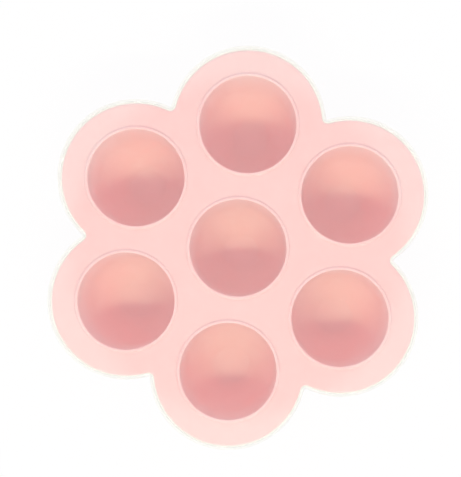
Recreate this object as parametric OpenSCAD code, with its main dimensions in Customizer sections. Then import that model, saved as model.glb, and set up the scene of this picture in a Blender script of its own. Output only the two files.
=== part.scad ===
// Baby food freezer tray: a flower-shaped silicone tray with seven round cups,
// shown closed by its clear clip-on lid.
// Millimetres, +Z up. The origin is on the surface that the tray stands on,
// under the middle of the centre cup. One outer cup lies straight along +Y.

/* [Cups] */
// Inside radius of a cup at its mouth
cup_r = 25; // [20:0.5:35]
// Depth of a cup from the deck's top face to its floor
cup_depth = 40; // [30:1:60]
// Draft of the cup wall, in degrees
cup_draft = 2.5; // [0.5:0.5:6]
// Radius of a cup's flat floor
floor_r = 9.9; // [8:0.1:12]
// Angle between the flat floor and the bowl at the floor's edge, in degrees
floor_crease = 20; // [5:1:30]
// Thickness of the cup's wall and floor
wall_t = 1.6; // [1.2:0.1:3]
// Height of the raised lip round each cup mouth
lip_h = 1; // [0.5:0.1:3]
// Width of the raised lip
lip_w = 1.4; // [0.8:0.1:1.5]
// Radius on the lip's two top edges
lip_round_r = 0.4; // [0.1:0.05:0.4]

/* [Deck] */
// Width of deck between the mouths of two neighbouring cups
cup_gap = 14; // [8:0.5:20]
// Width of deck outside an outer cup's mouth
deck_margin = 13.6; // [11:0.2:20]
// Thickness of the deck
deck_t = 2; // [1:0.1:4]
// Height of the thick rim at the deck's edge
rim_h = 4; // [3:0.2:8]
// Width of the thick rim
rim_w = 2.5; // [1.5:0.1:5]

/* [Push-up floors] */
// Width of the ledge that carries a floor
ledge_w = 2; // [1:0.1:4]
// Gap round a floor, in the plane of the floor
floor_gap = 0.3; // [0.1:0.05:0.6]
// Height of a floor's underside above the surface that the tray stands on
foot_clear = 0.2; // [0.1:0.05:0.6]

/* [Lid] */
// Thickness of the lid's top panel
lid_t = 1.2; // [0.8:0.1:3]
// Thickness of the lid's skirt
skirt_t = 1.2; // [0.8:0.1:3]
// Height of the skirt below the panel
skirt_h = 6; // [4:0.5:12]
// Gap between the tray's edge and the skirt
lid_gap = 0.6; // [0.3:0.05:1.2]
// How far the clip bead stands in from the skirt
bead_w = 0.4; // [0.1:0.05:0.5]
// Height of the clip bead
bead_h = 0.8; // [0.4:0.1:2]
// Outside radius of the lid in the notches between two lobes
notch_r = 1.2; // [0.5:0.1:5]

/* [Hidden] */
$fn = 96;

silicone_pink = [0.98, 0.80, 0.78];
cup_pink = [0.95, 0.70, 0.67];
lid_clear = [0.95, 0.97, 0.96, 0.35];

outer_cups = 6;
cup_pitch = 2 * cup_r + cup_gap;
lobe_r = cup_r + deck_margin;

// Heights of the main faces
deck_z = wall_t + cup_depth;
deck_under_z = deck_z - deck_t;
lip_top_z = deck_z + lip_h;

// The cup's section: a straight mouth through the deck, a drafted wall, and the
// bowl, an arc that leaves the wall smoothly and meets the flat floor at a
// crease. Its radius follows from the point where the lines it touches would
// cross. The outside is the same line, one wall thickness away.
bowl_steps = 20;
lip_steps = 4;
lobe_steps = 36;
fillet_steps = 8;
bowl_turn = 90 - cup_draft - floor_crease;
bowl_reach = (cup_r - floor_r - (deck_under_z - wall_t) * tan(cup_draft))
    / (cos(floor_crease) - sin(floor_crease) * tan(cup_draft));
bowl_r = bowl_reach / tan(bowl_turn / 2);
bowl_middle = [floor_r - bowl_r * sin(floor_crease), wall_t + bowl_r * cos(floor_crease)];
collar_r = cup_r + wall_t / cos(cup_draft);
foot_r = floor_r + wall_t * tan(floor_crease / 2);

// The floor piece is a stepped disc: a flange on the ledge and a plug in its hole
ledge_z = wall_t / 2;
ledge_hole_r = floor_r - ledge_w;

// How far the lid's skirt stands out from the tray's edge
skirt_in = lid_gap;
skirt_out = lid_gap + skirt_t;

// Middle of cup number i; cup 0 is the centre cup, 1 to 6 run clockwise from +Y
function cup_angle(i) = 90 - (i - 1) * 360 / outer_cups;
function cup_middle(i) = i == 0 ? [0, 0] : cup_pitch * [cos(cup_angle(i)), sin(cup_angle(i))];

// Points on an arc about c from angle a to angle b
function arc(c, r, a, b, steps) = [
    for (k = [0 : steps])
        let (t = a + (b - a) * k / steps)
            c + r * [cos(t), sin(t)]
];

// Outline of the tray's edge, moved out by grow: six lobes on a ring about the
// middle, with a round fillet in each notch between two lobes. lobe_turn is how
// far a lobe's arc runs to each side of its tip, up to the fillet.
function flower_points(grow) =
    let (
        r = lobe_r + grow,
        fillet_r = notch_r + skirt_out - grow,
        half_step = 180 / outer_cups,
        reach = cup_pitch * cos(half_step)
            + sqrt(pow(r + fillet_r, 2) - pow(cup_pitch / 2, 2)),
        lobe_turn = atan2(reach * sin(half_step), reach * cos(half_step) - cup_pitch)
    )
    [for (i = [1 : outer_cups])
        let (
            tip = cup_angle(i),
            fillet_middle = reach * [cos(tip - half_step), sin(tip - half_step)],
            fillet_start = tip - lobe_turn + 180,
            fillet_end = tip - 2 * half_step + lobe_turn + 180,
            fillet = arc(fillet_middle, fillet_r, fillet_start, fillet_end, fillet_steps)
        )
        each concat(
            arc(cup_middle(i), r, tip + lobe_turn, tip - lobe_turn, lobe_steps),
            [for (k = [1 : fillet_steps - 1]) fillet[k]]
        )
    ];

module flower(grow) {
    polygon(flower_points(grow));
}

// Band between the outlines at grow_in and grow_out, from height z, h tall
module flower_band(grow_in, grow_out, z, h) {
    translate([0, 0, z]) linear_extrude(h) difference() {
        flower(grow_out);
        flower(grow_in);
    }
}

// Flat deck with a round hole for each cup and a thicker rim along its edge
module tray_deck() {
    color(silicone_pink) difference() {
        union() {
            translate([0, 0, deck_under_z]) linear_extrude(deck_t) flower(0);
            flower_band(-rim_w, 0, deck_z - rim_h, rim_h);
        }
        for (i = [0 : outer_cups])
            translate([cup_middle(i).x, cup_middle(i).y, deck_under_z - rim_h])
                cylinder(h = 2 * rim_h + deck_t, r = collar_r);
    }
}

// Wall of cup number i, with its raised lip, its foot and the floor's ledge
module cup(i) {
    inside = concat(
        [[ledge_hole_r, 0], [ledge_hole_r, ledge_z], [floor_r, ledge_z]],
        arc(bowl_middle, bowl_r, floor_crease - 90, -cup_draft, bowl_steps),
        [[cup_r, deck_under_z]],
        arc([cup_r + lip_round_r, lip_top_z - lip_round_r], lip_round_r, 180, 90, lip_steps)
    );
    outside = concat(
        arc([cup_r + lip_w - lip_round_r, lip_top_z - lip_round_r], lip_round_r, 90, 0, lip_steps),
        [[cup_r + lip_w, deck_z], [collar_r, deck_z], [collar_r, deck_under_z]],
        arc(bowl_middle, bowl_r + wall_t, -cup_draft, floor_crease - 90, bowl_steps),
        [[foot_r, 0]]
    );
    color(cup_pink) translate(cup_middle(i)) rotate_extrude() polygon(concat(inside, outside));
}

// Floor of cup number i, which a thumb pushes up from below
module cup_floor(i) {
    flange_r = floor_r - floor_gap;
    plug_r = ledge_hole_r - floor_gap;
    color(silicone_pink) translate(cup_middle(i)) {
        translate([0, 0, ledge_z]) cylinder(h = wall_t - ledge_z, r = flange_r);
        translate([0, 0, foot_clear]) cylinder(h = ledge_z - foot_clear, r = plug_r);
    }
}

// Clear lid's flat panel, which lies on the cups' lips
module lid_panel() {
    color(lid_clear) translate([0, 0, lip_top_z]) linear_extrude(lid_t) flower(skirt_out);
}

// Clear lid's skirt, with a bead under the tray's rim
module lid_skirt() {
    skirt_z = lip_top_z - skirt_h;
    color(lid_clear) union() {
        flower_band(skirt_in, skirt_out, skirt_z, skirt_h);
        flower_band(skirt_in - bead_w, skirt_out, skirt_z, bead_h);
    }
}

tray_deck();
cup(0);  // cup_centre
cup(1);  // cup_1
cup(2);  // cup_2
cup(3);  // cup_3
cup(4);  // cup_4
cup(5);  // cup_5
cup(6);  // cup_6
cup_floor(0);  // cup_floor_centre
cup_floor(1);  // cup_floor_1
cup_floor(2);  // cup_floor_2
cup_floor(3);  // cup_floor_3
cup_floor(4);  // cup_floor_4
cup_floor(5);  // cup_floor_5
cup_floor(6);  // cup_floor_6
lid_panel();
lid_skirt();
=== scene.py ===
"""Baby food freezer tray: a pink silicone tray with seven cups, under a clear clip-on lid."""

import math

import bmesh
import bpy
from mathutils import Matrix, Vector


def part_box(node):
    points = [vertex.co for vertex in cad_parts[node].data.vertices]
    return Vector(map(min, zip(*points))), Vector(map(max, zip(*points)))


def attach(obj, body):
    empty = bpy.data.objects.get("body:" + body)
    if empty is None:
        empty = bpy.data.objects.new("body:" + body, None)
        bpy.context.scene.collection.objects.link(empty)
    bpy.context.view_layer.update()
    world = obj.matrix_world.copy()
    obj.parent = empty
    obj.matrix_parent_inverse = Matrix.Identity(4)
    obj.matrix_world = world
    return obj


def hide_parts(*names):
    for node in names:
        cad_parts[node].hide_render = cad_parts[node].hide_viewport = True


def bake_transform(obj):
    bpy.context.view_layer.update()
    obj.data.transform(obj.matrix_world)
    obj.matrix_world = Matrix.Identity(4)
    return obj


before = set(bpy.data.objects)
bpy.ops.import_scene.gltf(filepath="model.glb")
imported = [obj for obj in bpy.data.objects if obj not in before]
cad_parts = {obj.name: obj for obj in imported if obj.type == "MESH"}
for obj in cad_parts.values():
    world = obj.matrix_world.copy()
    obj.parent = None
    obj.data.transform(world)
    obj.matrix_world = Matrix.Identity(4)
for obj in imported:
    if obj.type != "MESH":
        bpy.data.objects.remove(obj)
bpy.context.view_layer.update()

# ---- Silicone --------------------------------------------------------------
# The tray is moulded from platinum-cured silicone rubber, filled with pink
# pigment. The steel mould is lightly blasted, so the skin is satin with a very
# fine grain, and light sinks a little way into the rubber before it comes out.

# Materials, lights, camera and paper are in metres. The tray and the lid are
# drawn in millimetres, and scaled when they are finished.
MM = 0.001
SILICONE_PINK = "#F8D6D8"
SILICONE_DEEP = "#F7D1D3"
# Painted light: the paler flange colour, painted in from FLANGE_FROM to FLANGE_TO out from the
# middle, stands for the paper's light through the flange.
FLANGE_PAINTED_GLOW = "#F9DBDD"
FLANGE_FROM = 80 * MM
FLANGE_TO = 94 * MM
DUST_PALE = "#FBE2E3"
DUST_MOST = 0.25
STREAK_LONG = 25 * MM
DUST_PATCH = 4 * MM
GRAIN = 0.5 * MM
GRAIN_DEEP = 0.03 * MM
DECK_GLOW = 0.35 * MM


def linear(hex_colour):
    """Linear RGBA of an sRGB hex colour."""
    parts = [int(hex_colour[i : i + 2], 16) / 255 for i in (1, 3, 5)]
    return (*(c / 12.92 if c <= 0.04045 else ((c + 0.055) / 1.055) ** 2.4 for c in parts), 1)


def add_node(tree, kind, settings=None, **inputs):
    """Adds a node. settings are its own options; an input is a value or another node's output."""
    node = tree.nodes.new(kind)
    for name, value in (settings or {}).items():
        setattr(node, name, value)
    for name, value in inputs.items():
        numbered = name[1:].isdigit()
        socket = node.inputs[int(name[1:]) if numbered else name.replace("_", " ")]
        if isinstance(value, bpy.types.NodeSocket):
            tree.links.new(value, socket)
        else:
            socket.default_value = value
    return node


def new_material(name):
    """An empty node material: its tree, its output node and Object coordinates."""
    material = bpy.data.materials.new(name)
    material.use_nodes = True
    tree = material.node_tree
    tree.nodes.clear()
    output = add_node(tree, "ShaderNodeOutputMaterial")
    place = add_node(tree, "ShaderNodeTexCoord").outputs["Object"]
    return material, tree, output, place


silicone, tree, output, place = new_material("moulded_silicone")
# Pigment streaks, frozen in as the rubber filled the mould.
streaks = add_node(
    tree, "ShaderNodeTexNoise", Vector=place, Scale=1 / STREAK_LONG, Detail=3.0, Roughness=0.5
)
pink = add_node(
    tree,
    "ShaderNodeMix",
    {"data_type": "RGBA"},
    _0=streaks.outputs["Fac"],
    _6=linear(SILICONE_DEEP),
    _7=linear(SILICONE_PINK),
)
# Painted light: the flange outside the cups is painted paler towards its outer edge, for the
# paper's light that comes through it.
flat = add_node(tree, "ShaderNodeVectorMath", {"operation": "MULTIPLY"}, _0=place, _1=(1, 1, 0))
out = add_node(tree, "ShaderNodeVectorMath", {"operation": "LENGTH"}, _0=flat.outputs["Vector"])
painted_glow_mask = add_node(
    tree,
    "ShaderNodeMapRange",
    {"interpolation_type": "SMOOTHSTEP"},
    Value=out.outputs["Value"],
    From_Min=FLANGE_FROM,
    From_Max=FLANGE_TO,
)
painted_glow = add_node(
    tree,
    "ShaderNodeMix",
    {"data_type": "RGBA"},
    _0=painted_glow_mask.outputs["Result"],
    _6=pink.outputs[2],
    _7=linear(FLANGE_PAINTED_GLOW),
)
# Fine dust and handling marks, in patches with soft edges.
dust = add_node(
    tree, "ShaderNodeTexNoise", Vector=place, Scale=1 / DUST_PATCH, Detail=6.0, Roughness=0.65
)
dust_amount = add_node(
    tree,
    "ShaderNodeMapRange",
    Value=dust.outputs["Fac"],
    From_Min=0.5,
    From_Max=0.8,
    To_Min=0.0,
    To_Max=DUST_MOST,
)
skin = add_node(
    tree,
    "ShaderNodeMix",
    {"data_type": "RGBA"},
    _0=dust_amount.outputs["Result"],
    _6=painted_glow.outputs[2],
    _7=linear(DUST_PALE),
)
gloss = add_node(
    tree,
    "ShaderNodeMapRange",
    Value=dust.outputs["Fac"],
    From_Min=0.2,
    From_Max=0.8,
    To_Min=0.4,
    To_Max=0.56,
)
# The blasted grain is 0.1 mm on the real mould; 0.5 mm is the finest that shows.
grain = add_node(tree, "ShaderNodeTexNoise", Vector=place, Scale=1 / GRAIN, Detail=2.0)
relief = add_node(
    tree, "ShaderNodeBump", Strength=0.15, Distance=GRAIN_DEEP, Height=grain.outputs["Fac"]
)
shader = add_node(
    tree,
    "ShaderNodeBsdfPrincipled",
    Base_Color=skin.outputs[2],
    Roughness=gloss.outputs["Result"],
    IOR=1.41,
    Subsurface_Weight=1.0,
    Subsurface_Radius=(1.0, 1.0, 1.0),
    Subsurface_Scale=DECK_GLOW,
    Normal=relief.outputs["Normal"],
)
tree.links.new(shader.outputs["BSDF"], output.inputs["Surface"])

# ---- Deck ------------------------------------------------------------------
# The flat top of the silicone tray, 2 mm thick, with a flower outline, a raised
# lip round each cup's mouth, and a thicker rim that the lid clips over. The two
# halves of the mould met half way down the rim, and left a fine line there.

DECK_THICK = 2
CUP_DRAFT = math.radians(2.5)
LIP_WIDE = 1.4
LIP_SPREAD = 0.4
LIP_EDGE_R = 0.65
LIP_FOOT_R = 0.35
LIP_CLEAR = 0.05
COLLAR_DEEP = 1.5
COLLAR_R = 1.2
RIM_WIDE = 2.5
RIM_EDGE_R = 0.9
RIM_INNER_R = 0.8
PARTING_OUT = 0.12
PARTING_HALF = 0.15
NOTCH_R = 3
WALL = 1.6
SHARP_EDGE = math.radians(35)
FLAT_BAND = 1.2
LEAST_STEPS = 6
STEPS_PER_MM = 1.5
ROUND_STEPS = 128
LOBE_STEPS = 40
NOTCH_STEPS = 12
CLOSE = 0.001
LOBES = 6
SIXTH = math.tau / LOBES
UP = Vector((0, 0, 1))


def box_mm(node):
    low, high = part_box(node)
    return low / MM, high / MM


def cup_middle(name):
    low, high = box_mm(f"cup_{name}")
    return Vector(((low.x + high.x) / 2, (low.y + high.y) / 2, 0))


def draw_section(bm, corners):
    """Joins corners (out, height, rounding) by straight lines, and rounds those that ask for it."""
    verts = [bm.verts.new((out, 0, height)) for out, height, _ in corners]
    for pair in zip(verts, verts[1:]):
        bm.edges.new(pair)
    for vert, (_, _, rounding) in zip(verts, corners):
        if rounding:
            bmesh.ops.bevel(
                bm,
                geom=[vert],
                offset=rounding,
                segments=max(LEAST_STEPS, round(STEPS_PER_MM * rounding)),
                profile=0.5,
                affect="VERTICES",
                material=-1,
            )
    return bm.verts[:] + bm.edges[:]


def sweep_flower(bm, section):
    """Sweeps a section round the tray's edge: about a lobe, the notch beside it, and so on."""
    lobe = Vector((cup_pitch, 0, 0))
    half_pitch = cup_pitch / 2
    reach = cup_pitch * math.cos(SIXTH / 2) + math.sqrt((lobe_r + NOTCH_R) ** 2 - half_pitch**2)
    notch = Matrix.Rotation(-SIXTH / 2, 3, "Z") @ Vector((reach, 0, 0))
    turn = math.atan2(-notch.y, notch.x - cup_pitch)
    outward = Matrix.Translation((lobe_r, 0, 0))
    start = Matrix.Translation(lobe) @ Matrix.Rotation(turn, 4, "Z") @ outward
    bmesh.ops.transform(bm, matrix=start, verts=bm.verts)
    arc = bmesh.ops.spin(bm, geom=section, cent=lobe, axis=UP, angle=-2 * turn, steps=LOBE_STEPS)
    bmesh.ops.spin(
        bm, geom=arc["geom_last"], cent=notch, axis=UP, angle=2 * turn - SIXTH, steps=NOTCH_STEPS
    )
    sixth = bm.verts[:] + bm.edges[:] + bm.faces[:]
    bmesh.ops.spin(
        bm, geom=sixth, axis=UP, angle=-(math.tau - SIXTH), steps=LOBES - 1, use_duplicate=True
    )
    bmesh.ops.remove_doubles(bm, verts=bm.verts, dist=CLOSE)
    bmesh.ops.rotate(bm, matrix=Matrix.Rotation(math.pi / 2, 3, "Z"), verts=bm.verts)


def fill_level(bm, height):
    """Fills the flat face that the open edges at one height bound."""
    rims = [e for e in bm.edges if e.is_boundary and abs(e.verts[0].co.z - height) < CLOSE]
    bmesh.ops.triangle_fill(bm, use_beauty=True, edges=rims, normal=UP)


def make_piece(name, bm, material):
    """Makes a finished object, in metres, of a mesh drawn in millimetres."""
    bmesh.ops.remove_doubles(bm, verts=bm.verts, dist=CLOSE)
    bmesh.ops.recalc_face_normals(bm, faces=bm.faces)
    bmesh.ops.scale(bm, vec=(MM, MM, MM), verts=bm.verts)
    for face in bm.faces:
        face.smooth = True
    for edge in bm.edges:
        edge.smooth = edge.calc_face_angle(0) < SHARP_EDGE
    mesh = bpy.data.meshes.new(name)
    bm.to_mesh(mesh)
    bm.free()
    mesh.materials.append(material)
    piece = bpy.data.objects.new(name, mesh)
    bpy.context.scene.collection.objects.link(piece)
    return piece


deck_low, deck_high = box_mm("tray_deck")
cup_low, cup_high = box_mm("cup_centre")
deck_top = deck_high.z
deck_under = deck_top - DECK_THICK
rim_bottom = deck_low.z
parting_z = (deck_top + rim_bottom) / 2
cup_pitch = cup_middle("1").y
lobe_r = deck_high.y - cup_pitch
collar_r = (cup_high.x - cup_low.x) / 2
mouth_r = collar_r - WALL
lip_top = cup_high.z - LIP_CLEAR
lip_r = mouth_r + LIP_WIDE
lip_foot_r = lip_r + LIP_SPREAD
collar_z = deck_under - COLLAR_DEEP
collar_in = COLLAR_DEEP * math.tan(CUP_DRAFT)
cup_names = ["centre"] + [str(i) for i in range(1, LOBES + 1)]

bm = bmesh.new()
sweep_flower(
    bm,
    draw_section(
        bm,
        [
            (-RIM_EDGE_R - FLAT_BAND, deck_top, 0),
            (0, deck_top, RIM_EDGE_R),
            (0, parting_z + PARTING_HALF, 0),
            (PARTING_OUT, parting_z, 0),
            (0, parting_z - PARTING_HALF, 0),
            (0, rim_bottom, RIM_EDGE_R),
            (-RIM_WIDE, rim_bottom, RIM_EDGE_R),
            (-RIM_WIDE, deck_under, RIM_INNER_R),
            (-RIM_WIDE - RIM_INNER_R - FLAT_BAND, deck_under, 0),
        ],
    ),
)
# In each cup's place: the lip, the mouth, and the collar that the wall hangs from.
sleeve = bmesh.new()
hole = draw_section(
    sleeve,
    [
        (lip_foot_r + LIP_FOOT_R + FLAT_BAND, deck_top, 0),
        (lip_foot_r, deck_top, LIP_FOOT_R),
        (lip_r, lip_top, LIP_EDGE_R),
        (mouth_r, lip_top, LIP_EDGE_R),
        (mouth_r, deck_under, 0),
        (mouth_r - collar_in, collar_z, 0),
        (collar_r - collar_in, collar_z, 0),
        (collar_r, deck_under, COLLAR_R),
        (collar_r + COLLAR_R + FLAT_BAND, deck_under, 0),
    ],
)
bmesh.ops.spin(sleeve, geom=hole, axis=UP, angle=math.tau, steps=ROUND_STEPS, use_merge=True)
sleeve_mesh = bpy.data.meshes.new("cup_hole")
for name in cup_names:
    sleeve.to_mesh(sleeve_mesh)
    sleeve_mesh.transform(Matrix.Translation(cup_middle(name)))
    bm.from_mesh(sleeve_mesh)
sleeve.free()
bpy.data.meshes.remove(sleeve_mesh)
fill_level(bm, deck_top)
fill_level(bm, deck_under)
deck = make_piece("tray_deck_skin", bm, silicone)
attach(deck, "tray")
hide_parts("tray_deck")

# ---- Cups ------------------------------------------------------------------
# Each cup hangs below the deck in the same silicone moulding: a wall with a
# little draft, and a round bowl that meets a small flat floor at a crease. On the
# real tray a thumb pushes that floor up from below; here the cups are drawn at rest.

WALL_GLOW = 1.3 * MM
FLOOR_R = 9.9
FLOOR_CREASE = math.radians(20)


def bowl_corner(floor_r, floor_z, rim_r):
    """Where the bowl's lowest slope would meet the wall, and the rounding that makes it a bowl."""
    lean, slope = math.tan(CUP_DRAFT), math.tan(FLOOR_CREASE)
    reach = (rim_r - floor_r - (deck_under - floor_z) * lean) / (1 - lean * slope)
    return floor_r + reach, floor_z + reach * slope, reach / math.cos(FLOOR_CREASE) - 2 * CLOSE


foot_r = FLOOR_R + WALL * math.tan(FLOOR_CREASE / 2)

# The walls are thinner than the deck, and more of the light gets through them.
cup_silicone = silicone.copy()
cup_silicone.name = "moulded_silicone_thin"
cup_silicone.node_tree.nodes["Principled BSDF"].inputs["Subsurface Scale"].default_value = WALL_GLOW

cup_form = bmesh.new()
cup_section = draw_section(
    cup_form,
    [
        (0, WALL, 0),
        (FLOOR_R, WALL, 0),
        bowl_corner(FLOOR_R, WALL, mouth_r),
        (mouth_r - collar_in, collar_z, 0),
        (collar_r - collar_in, collar_z, 0),
        bowl_corner(foot_r, 0, collar_r),
        (foot_r, 0, 0),
        (0, 0, 0),
    ],
)
bmesh.ops.spin(
    cup_form, geom=cup_section, axis=UP, angle=math.tau, steps=ROUND_STEPS, use_merge=True
)
for name in cup_names:
    bm = cup_form.copy()
    middle = cup_middle(name)
    bmesh.ops.translate(bm, verts=bm.verts, vec=middle)
    cup = make_piece(f"cup_{name}_skin", bm, cup_silicone)
    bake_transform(cup)
    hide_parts(f"cup_{name}", f"cup_floor_{name}")
cup_form.free()

# ---- Lid -------------------------------------------------------------------
# A clear polypropylene moulding, 1.2 mm thick: a flat panel that lies on the
# cups' lips, and a skirt round the rim with a small bead that clips under it.

LID_CLEAR = "#FEFEFB"
LID_THIN = 0.7
LID_WALL = 1.2
LID_GAP = 0.6
LID_EDGE_R = 1.0
LID_INNER_R = 0.4
BEAD_OUT = 0.4
BEAD_HIGH = 0.8
FLOW_LONG = 30 * MM
FLOW_DEEP = 0.15 * MM
SCUFF_LONG = 1.5 * MM

lid_plastic, tree, output, place = new_material("clear_polypropylene")
# Faint flow marks from the mould, and fine scuffs from washing.
flow = add_node(tree, "ShaderNodeTexNoise", Vector=place, Scale=1 / FLOW_LONG, Detail=2.0)
scuffs = add_node(
    tree, "ShaderNodeTexNoise", Vector=place, Scale=1 / SCUFF_LONG, Detail=5.0, Roughness=0.6
)
haze = add_node(
    tree,
    "ShaderNodeMapRange",
    Value=scuffs.outputs["Fac"],
    From_Min=0.4,
    From_Max=0.8,
    To_Min=0.03,
    To_Max=0.12,
)
ripple = add_node(
    tree, "ShaderNodeBump", Strength=0.2, Distance=FLOW_DEEP, Height=flow.outputs["Fac"]
)
plastic = add_node(
    tree,
    "ShaderNodeBsdfPrincipled",
    Base_Color=linear(LID_CLEAR),
    Roughness=haze.outputs["Result"],
    IOR=1.49,
    Transmission_Weight=1.0,
    Normal=ripple.outputs["Normal"],
)
# Lamps and the light between the cups' walls pass straight through, and so does
# most of what the camera sees: the panel is thin, and bends it very little.
ray = add_node(tree, "ShaderNodeLightPath")
passing = add_node(
    tree,
    "ShaderNodeMath",
    {"operation": "MAXIMUM"},
    _0=ray.outputs["Is Shadow Ray"],
    _1=ray.outputs["Is Diffuse Ray"],
)
passing = add_node(
    tree, "ShaderNodeMath", {"operation": "MAXIMUM"}, _0=passing.outputs[0], _1=LID_THIN
)
clear = add_node(tree, "ShaderNodeBsdfTransparent", Color=linear(LID_CLEAR))
lid_mix = add_node(
    tree,
    "ShaderNodeMixShader",
    _0=passing.outputs[0],
    _1=plastic.outputs["BSDF"],
    _2=clear.outputs["BSDF"],
)
tree.links.new(lid_mix.outputs["Shader"], output.inputs["Surface"])

panel_low, panel_high = box_mm("lid_panel")
skirt_low, _ = box_mm("lid_skirt")
lid_top, panel_under, hem_z = panel_high.z, panel_low.z, skirt_low.z
skirt_out = LID_GAP + LID_WALL
bead_z = hem_z + BEAD_HIGH
bm = bmesh.new()
sweep_flower(
    bm,
    draw_section(
        bm,
        [
            (skirt_out - LID_EDGE_R - FLAT_BAND, lid_top, 0),
            (skirt_out, lid_top, LID_EDGE_R),
            (skirt_out, hem_z, LID_INNER_R),
            (LID_GAP - BEAD_OUT, hem_z, LID_INNER_R),
            (LID_GAP - BEAD_OUT, bead_z, 0),
            (LID_GAP, bead_z + BEAD_OUT, 0),
            (LID_GAP, panel_under, LID_INNER_R),
            (LID_GAP - LID_INNER_R - FLAT_BAND, panel_under, 0),
        ],
    ),
)
fill_level(bm, lid_top)
fill_level(bm, panel_under)
lid = make_piece("lid_shell", bm, lid_plastic)
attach(lid, "lid")
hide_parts("lid_panel", "lid_skirt")

# ---- Studio ----------------------------------------------------------------
# A white sweep that stays white to the camera but keeps a trace of the tray's
# shadow, an even white room, and one strip lamp in front of the tray. The strip
# is narrow enough to draw an edge on the shadow inside each cup.

PAPER_WHITE = "#F4F4F4"
PAPER_HALF = 2.5
PAPER_BELOW = 0.02 * MM
FIBRE_LONG = 2 * MM
TOOTH_DEEP = 0.05 * MM
PAPER_LIT = 0.95
ROOM_LIGHT = 0.98
ROOM_COLOUR = "#FFF2FF"


def seen_white(tree):
    """1 for rays that show the background: to the camera, in a reflection or through the lid."""
    ray = add_node(tree, "ShaderNodeLightPath")
    seen = ray.outputs["Is Camera Ray"]
    for other in ("Is Glossy Ray", "Is Transmission Ray"):
        either = add_node(
            tree, "ShaderNodeMath", {"operation": "MAXIMUM"}, _0=seen, _1=ray.outputs[other]
        )
        seen = either.outputs[0]
    return seen


paper, tree, output, place = new_material("white_paper")
fibre = add_node(tree, "ShaderNodeTexNoise", Vector=place, Scale=1 / FIBRE_LONG, Detail=4.0)
tooth = add_node(
    tree, "ShaderNodeBump", Strength=0.05, Distance=TOOTH_DEEP, Height=fibre.outputs["Fac"]
)
sheet = add_node(
    tree, "ShaderNodeBsdfDiffuse", Color=linear(PAPER_WHITE), Normal=tooth.outputs["Normal"]
)
white = add_node(tree, "ShaderNodeEmission", Strength=1.0)
share = add_node(
    tree, "ShaderNodeMath", {"operation": "MULTIPLY"}, _0=seen_white(tree), _1=PAPER_LIT
)
paper_mix = add_node(
    tree,
    "ShaderNodeMixShader",
    _0=share.outputs[0],
    _1=sheet.outputs["BSDF"],
    _2=white.outputs["Emission"],
)
tree.links.new(paper_mix.outputs["Shader"], output.inputs["Surface"])

bm = bmesh.new()
bmesh.ops.create_grid(bm, x_segments=1, y_segments=1, size=PAPER_HALF)
bmesh.ops.translate(bm, verts=bm.verts, vec=-UP * PAPER_BELOW)
mesh = bpy.data.meshes.new("paper_sweep")
bm.to_mesh(mesh)
bm.free()
mesh.materials.append(paper)
floor = bpy.data.objects.new("paper_sweep", mesh)
bpy.context.scene.collection.objects.link(floor)

world = bpy.data.worlds.new("white_room")
world.use_nodes = True
tree = world.node_tree
tree.nodes.clear()
fill = add_node(tree, "ShaderNodeBackground", Color=linear(ROOM_COLOUR), Strength=ROOM_LIGHT)
backdrop = add_node(tree, "ShaderNodeBackground", Color=(1, 1, 1, 1), Strength=1.0)
room = add_node(
    tree,
    "ShaderNodeMixShader",
    _0=seen_white(tree),
    _1=fill.outputs["Background"],
    _2=backdrop.outputs["Background"],
)
output = add_node(tree, "ShaderNodeOutputWorld")
tree.links.new(room.outputs["Shader"], output.inputs["Surface"])
bpy.context.scene.world = world

# The photograph looks straight down. PICTURE_TURN is how far the tray's +Y lies
# clockwise of the picture's upright, and LENS_PIXEL is where the lens's own
# axis meets the picture: the shift of each cup's floor against its mouth
# points at it. FLOWER_PIXEL is where the middle of the tray is seen.
PICTURE_SIZE = (461, 477)
FLOWER_PIXEL = (237.9, 247.9)
LENS_PIXEL = (271, 291)
PICTURE_TURN = math.radians(4.6)
PIXEL_ON_DECK = 0.516 * MM
CAMERA_HEIGHT = 397 * MM
SENSOR_WIDTH = 36
NEAREST_SEEN = 10 * MM

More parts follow.
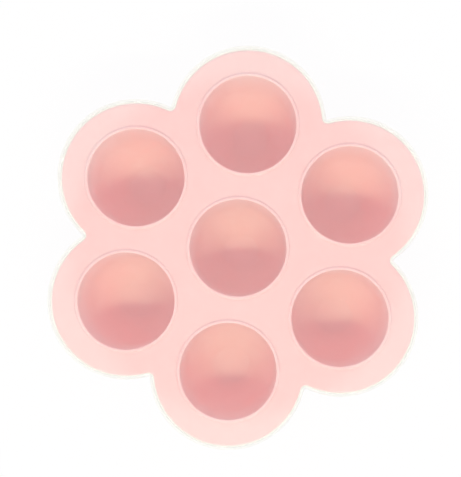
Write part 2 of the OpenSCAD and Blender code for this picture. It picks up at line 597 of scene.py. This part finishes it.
picture_turn = Matrix.Rotation(PICTURE_TURN, 4, "Z")
picture_right = picture_turn @ Vector((1, 0, 0))
picture_up = picture_turn @ Vector((0, 1, 0))
lens_right = (LENS_PIXEL[0] - FLOWER_PIXEL[0]) * PIXEL_ON_DECK
lens_down = (LENS_PIXEL[1] - FLOWER_PIXEL[1]) * PIXEL_ON_DECK
lens = bpy.data.cameras.new("camera")
lens.sensor_width = SENSOR_WIDTH
lens.lens = SENSOR_WIDTH * CAMERA_HEIGHT / (PIXEL_ON_DECK * max(PICTURE_SIZE))
lens.shift_x = (PICTURE_SIZE[0] / 2 - LENS_PIXEL[0]) / max(PICTURE_SIZE)
lens.shift_y = (LENS_PIXEL[1] - PICTURE_SIZE[1] / 2) / max(PICTURE_SIZE)
lens.clip_start = NEAREST_SEEN
camera = bpy.data.objects.new("camera", lens)
camera_place = picture_right * lens_right - picture_up * lens_down
camera_place += UP * (lip_top * MM + CAMERA_HEIGHT)
camera.matrix_world = Matrix.Translation(camera_place) @ picture_turn
bpy.context.scene.collection.objects.link(camera)
bpy.context.scene.camera = camera

STRIP_HEIGHT = 310 * MM
STRIP_FORWARD = 224 * MM
STRIP_WIDE = 280 * MM
STRIP_DEEP = 12 * MM
STRIP_POWER = 3.24
STRIP_COLOUR = "#EAFFD2"
lamp_data = bpy.data.lights.new("strip_lamp", "AREA")
lamp_data.shape = "RECTANGLE"
lamp_data.size = STRIP_WIDE
lamp_data.size_y = STRIP_DEEP
lamp_data.energy = STRIP_POWER
lamp_data.color = linear(STRIP_COLOUR)[:3]
lamp_data.use_nodes = True
tree = lamp_data.node_tree
# The far side of the tray is lit as well as the near side, as by a lamp far away.
even = add_node(tree, "ShaderNodeLightFalloff", Strength=1.0)
tree.links.new(even.outputs["Constant"], tree.nodes["Emission"].inputs["Strength"])
lamp = bpy.data.objects.new("strip_lamp", lamp_data)
lamp_place = -picture_up * STRIP_FORWARD + UP * (deck_top * MM + STRIP_HEIGHT)
facing = (UP * deck_top * MM - lamp_place).to_track_quat("-Z", "Y")
lamp.matrix_world = Matrix.Translation(lamp_place) @ facing.to_matrix().to_4x4()
# Nothing mirrors the lamp: the lid would show it as a burnt-out bar.
lamp.visible_camera = lamp.visible_glossy = lamp.visible_transmission = False
bpy.context.scene.collection.objects.link(lamp)

bpy.context.scene.view_settings.view_transform = "Standard"
